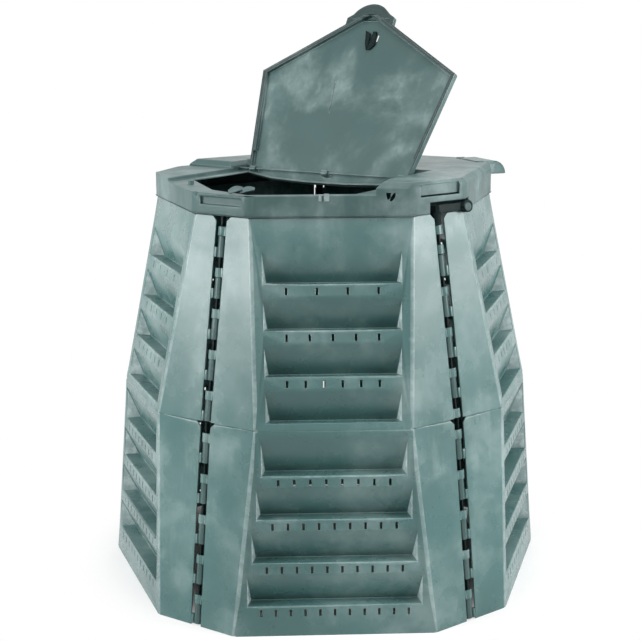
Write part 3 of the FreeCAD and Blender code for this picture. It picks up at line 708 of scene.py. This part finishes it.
def hem_band():
    """A broad inner band along the hem at the sides and the tip of the flap."""
    shape = new_shape()
    middle = flat_face(shape, HEM_INSIDE, HEM_LEVELS[0])

    def inset(width):
        return bmesh.ops.inset_region(shape, faces=[middle], thickness=width,
                                      use_even_offset=True, use_boundary=True)["faces"]

    bmesh.ops.delete(shape, geom=inset(HEM_GAP), context="FACES")
    inset(HEM_WIDTH)
    bmesh.ops.delete(shape, geom=[middle], context="FACES")
    thicken(shape, (HEM_LEVELS[1] - HEM_LEVELS[0]) / 1000)
    cut = bmesh.ops.bisect_plane(shape, geom=[*shape.verts, *shape.edges, *shape.faces],
                                 plane_co=(0, HEM_START, 0), plane_no=(0, 1, 0),
                                 clear_inner=True)
    ends = [item for item in cut["geom_cut"] if isinstance(item, bmesh.types.BMEdge)]
    bmesh.ops.holes_fill(shape, edges=ends, sides=0)
    bmesh.ops.recalc_face_normals(shape, faces=shape.faces)
    shape.transform(FLAP_PLACE)
    return shape


def solid_grip():
    """The round grip at the flap's tip, with a shoulder at each side, up to the flap's edge."""
    arc = [(GRIP_RADIUS * math.sin(turn), GRIP_REACH - GRIP_RADIUS * (1 - math.cos(turn)))
           for turn in (GRIP_SPREAD * (1 - step / 8) for step in range(17))]
    other_shoulder = [(-x, y) for x, y in reversed(GRIP_SHOULDER)]
    grip = prism([*GRIP_SHOULDER, *arc, *other_shoulder], GRIP_LEVELS, FLAP_PLACE)
    return cut_out(grip, WITHIN_FLAP, WITHIN_LEVELS, FLAP_PLACE)


def flap_with_solid_grip():
    """The flap with a slot beside its latch, a broad hem and a grip of full thickness."""
    shape = merged_copy("lid_flap")
    for outline, levels in ((BELOW_GRIP, BELOW_LEVELS), (HEM_TIP, TIP_LEVELS)):
        shape = cut_out(shape, outline, levels, FLAP_PLACE)
    for addition in (solid_grip(), hem_band()):
        shape = combine(shape, addition, "UNION")
    for outline, levels in ((LATCH_SLOT, SLOT_LEVELS), (FLAP_LINE, LINE_LEVELS)):
        shape = cut_out(shape, outline, levels, FLAP_PLACE)
    # the hem's downward faces are painted darker: painted shade
    mark(shape, "grimed", 0.8, hem_rim(shape))
    return shape


def hem_rim(shape):
    """The faces of the hem and its band that look down when the flap is closed."""
    to_flap = FLAP_PLACE.inverted()
    found = []
    for face in shape.faces:
        place = to_flap @ face.calc_center_median()
        looks = to_flap.to_3x3() @ face.normal
        if place.z < RIM_LEVEL and place.y > RIM_START and looks.z < -0.7:
            found.append(face)
    return found


def curled_lip(start, end):
    """A thin curled lip that narrows towards both of its ends."""
    shape = new_shape()
    bmesh.ops.create_grid(shape, x_segments=8, y_segments=4, size=0.5)
    along = end - start
    level = along.cross(Vector((0, 0, 1))).normalized()
    sideways = Matrix.Rotation(LIP_TILT, 3, along) @ level
    for vertex in shape.verts:
        # u goes from 0 to 1 along the lip, and v from -1 to 1 across it
        u, v = vertex.co.x + 0.5, 2 * vertex.co.y
        reach = LIP_WIDTH / 2 * (0.3 + 0.7 * math.sin(math.pi * min(1, 0.15 + 0.8 * u)))
        rise = LIP_CUP * v * v + LIP_ARCH * math.sin(math.pi * u)
        vertex.co = start + along * u + sideways * (v * reach) + Vector((0, 0, rise))
    # the lips get a little pale paint: part wear, part painted highlight
    mark(shape, "rubbed", 0.1, shape.faces)
    bmesh.ops.solidify(shape, geom=list(shape.faces), thickness=LIP_THICKNESS)
    bmesh.ops.recalc_face_normals(shape, faces=shape.faces)
    return shape


class BIN_OT_lid(bpy.types.Operator):
    """Build the lid, its filling flap and the flap's hinge rod"""
    bl_idname = "bin.lid"
    bl_label = "Lid and flap"

    def execute(self, context):
        scene = context.scene
        look = scene.bin_lid
        material = bloomed_plastic("lid plastic", look, scene.bin_walls)
        shape = merged_copy("lid")
        for outline in FRONT_WEDGES:
            shape = cut_out(shape, outline, WEDGE_LEVELS, FRONT_PLACE)
        corners = skirt_corners(shape)
        if len(corners) != SKIRT_CORNERS:
            raise RuntimeError(f"the lid has {len(corners)} skirt corners")
        round_edges(shape, corners, look.corner, segments=4, wear_and_highlight_share=0.0)
        rest = sharp_edges(shape, least_length=0.01)
        # the lid's small edges get a little pale paint: part wear, part painted highlight
        round_edges(shape, rest, look.edge, segments=3, wear_and_highlight_share=0.04)
        add_piece("lid_moulding", shape, "lid", material)
        self.add_catches(material)

        shape = flap_with_solid_grip()
        edges = sharp_edges(shape, least_length=0.01)
        # the flap's edges get pale paint: part wear, part painted highlight
        round_edges(shape, edges, 0.6 * look.edge, segments=2, wear_and_highlight_share=0.25)
        add_piece("lid_flap_moulding", shape, "lid_flap", material)
        # near-black legs of the latch: painted shade of the latch's hole
        latch_shade = plain_plastic("latch plastic", tuple(scene.bin_rods.plastic), roughness=0.6)
        for name, outline in LATCH_SHADE_LEGS.items():
            leg = prism(outline, LATCH_LEVELS, FLAP_PLACE)
            soften(leg, 0.001)
            add_detail(name, leg, "lid_flap", latch_shade)
        add_piece("flap_hinge_rod_bar", merged_copy("flap_hinge_rod"), "flap_hinge_rod",
                  material)
        return {"FINISHED"}

    def add_catches(self, material):
        """The small catches and lips round the filling opening."""
        def add(name, shape):
            add_detail(name, shape, "lid", material)

        for number, outline in enumerate(FRONT_POSTS, 1):
            post = prism(outline, POST_LEVELS, FRONT_PLACE)
            # the posts get pale paint: part wear, part painted glint
            mark(post, "rubbed", 0.4, post.faces)
            soften(post, 0.001)
            add(f"lid_catch_post_{number}", post)
        stud = new_shape()
        bmesh.ops.create_cone(stud, cap_ends=True, segments=20, radius1=STUD_RADII[0],
                              radius2=STUD_RADII[1], depth=STUD_HEIGHT)
        soften(stud, 0.0015)
        stud.transform(LID_PLACE @ Matrix.Translation(STUD_PLACE))
        add("lid_stud", stud)
        for number, ends in enumerate(LIPS, 1):
            start, end = (LID_PLACE @ (Vector(point) / 1000) for point in ends)
            add(f"lid_lip_{number}", curled_lip(start, end))


# ---- Stage -------------------------------------------------------------------------------------

# name, place and size of each softbox, and the setting that holds its power
SOFTBOXES = (
    ("left softbox", (-2.9, -1.2, 1.85), (1.6, 2.0), "side_power"),
    ("right softbox", (2.9, -1.2, 1.85), (1.6, 2.0), "side_power"),
    ("top softbox", (0.3, -0.6, 3.4), (2.4, 2.4), "top_power"),
    ("back fill", (0.9, 3.9, 4.2), (2.4, 1.8), "back_power"),
    ("front fill", (-0.6, -4.6, 2.6), (2.0, 1.6), "front_power"),
)
LAMP_TARGET = Vector((0, 0, 0.7))
SKY = (0.92, 0.96, 1.0)
FLOOR_SIZE = 40
FLOOR_TINT = (0.86, 0.86, 0.86)
PAINTED_SHADE_TINT = (0.16, 0.16, 0.15)
# distances from the middle of the floor: the painted shade within the bin's foot ends between the
# first two, and the floor turns white to the eye between the last two
PAINTED_SHADE_ENDS = (0.45, 0.57)
WHITE_STARTS = (0.5, 0.75)


def add_softbox(name, place, size, energy):
    """A rectangular lamp turned to the middle of the bin."""
    lamp = bpy.data.lights.new(name, "AREA")
    lamp.shape = "RECTANGLE"
    lamp.size, lamp.size_y = size
    lamp.energy = energy
    box = bpy.data.objects.new(name, lamp)
    bpy.context.scene.collection.objects.link(box)
    turn = (LAMP_TARGET - Vector(place)).to_track_quat("-Z", "Y")
    box.matrix_world = Matrix.Translation(place) @ turn.to_matrix().to_4x4()


def floor_paint():
    """Pale paint with painted shade inside the foot of the bin, and white to the eye further out.
    """
    paint = Recipe("floor paint")
    distance = paint.add("ShaderNodeVectorMath", {0: paint.place}, operation="LENGTH")
    distance = distance.outputs["Value"]
    # darker floor inside the bin's foot: painted shade
    tint = paint.mix(paint.ramp(distance, *PAINTED_SHADE_ENDS, kind="LINEAR"), PAINTED_SHADE_TINT, FLOOR_TINT)
    paint.set(Base_Color=tint, Roughness=0.9)
    plain = paint.shader.outputs[0]
    shown = paint.white_for_the_eye(plain, "ShaderNodeEmission")
    surface = paint.mix_shaders(paint.ramp(distance, *WHITE_STARTS), plain, shown)
    paint.put(paint.tree.nodes["Material Output"].inputs["Surface"], surface)
    return paint.material


class BIN_OT_stage(bpy.types.Operator):
    """Set up the floor, the studio lights and the camera"""
    bl_idname = "bin.stage"
    bl_label = "Studio"

    def execute(self, context):
        scene = context.scene
        stage = scene.bin_stage
        scene.view_settings.view_transform = "Standard"

        scene.world = bpy.data.worlds.new("studio")
        scene.world.use_nodes = True
        studio = Nodes(scene.world.node_tree)
        around = studio.tree.nodes["Background"]
        studio.put(around.inputs["Color"], SKY)
        studio.put(around.inputs["Strength"], stage.world_level)
        shown = studio.white_for_the_eye(around.outputs[0], "ShaderNodeBackground")
        studio.put(studio.tree.nodes["World Output"].inputs["Surface"], shown)

        bpy.ops.mesh.primitive_plane_add(size=FLOOR_SIZE)
        floor = context.active_object
        floor.name = "floor"
        floor.data.materials.append(floor_paint())

        for name, place, size, setting in SOFTBOXES:
            add_softbox(name, place, size, getattr(stage, setting))

        lens = bpy.data.cameras.new("camera")
        lens.lens = stage.lens
        lens.sensor_width = 36
        camera = bpy.data.objects.new("camera", lens)
        scene.collection.objects.link(camera)
        camera.matrix_world = (
            Matrix.Translation(stage.camera_place)
            @ Matrix.Rotation(stage.camera_yaw, 4, "Z")
            @ Matrix.Rotation(math.radians(90) - stage.camera_pitch, 4, "X")
            @ Matrix.Rotation(stage.camera_roll, 4, "Z"))
        scene.camera = camera
        return {"FINISHED"}


# ---- Add-on ------------------------------------------------------------------------------------

class BIN_PT_sidebar(bpy.types.Panel):
    """The steps that dress the bin, in order"""
    bl_label = "Compost bin"
    bl_idname = "BIN_PT_sidebar"
    bl_space_type = "VIEW_3D"
    bl_region_type = "UI"
    bl_category = "Bin"

    def draw(self, context):
        for step in STEPS:
            self.layout.operator(step.bl_idname)


STEPS = (BIN_OT_walls, BIN_OT_rods, BIN_OT_lid, BIN_OT_stage)
GROUPS = {
    "bin_walls": BIN_wall_settings,
    "bin_rods": BIN_rod_settings,
    "bin_lid": BIN_lid_settings,
    "bin_stage": BIN_stage_settings,
}
CLASSES = (*GROUPS.values(), *STEPS, BIN_PT_sidebar)


def register():
    for item in CLASSES:
        bpy.utils.register_class(item)
    for name, group in GROUPS.items():
        setattr(bpy.types.Scene, name, bpy.props.PointerProperty(type=group))


def unregister():
    for name in GROUPS:
        delattr(bpy.types.Scene, name)
    for item in reversed(CLASSES):
        bpy.utils.unregister_class(item)


def main():
    register()
    bpy.ops.bin.walls()
    bpy.ops.bin.rods()
    bpy.ops.bin.lid()
    bpy.ops.bin.stage()


if __name__ == "__main__":
    main()
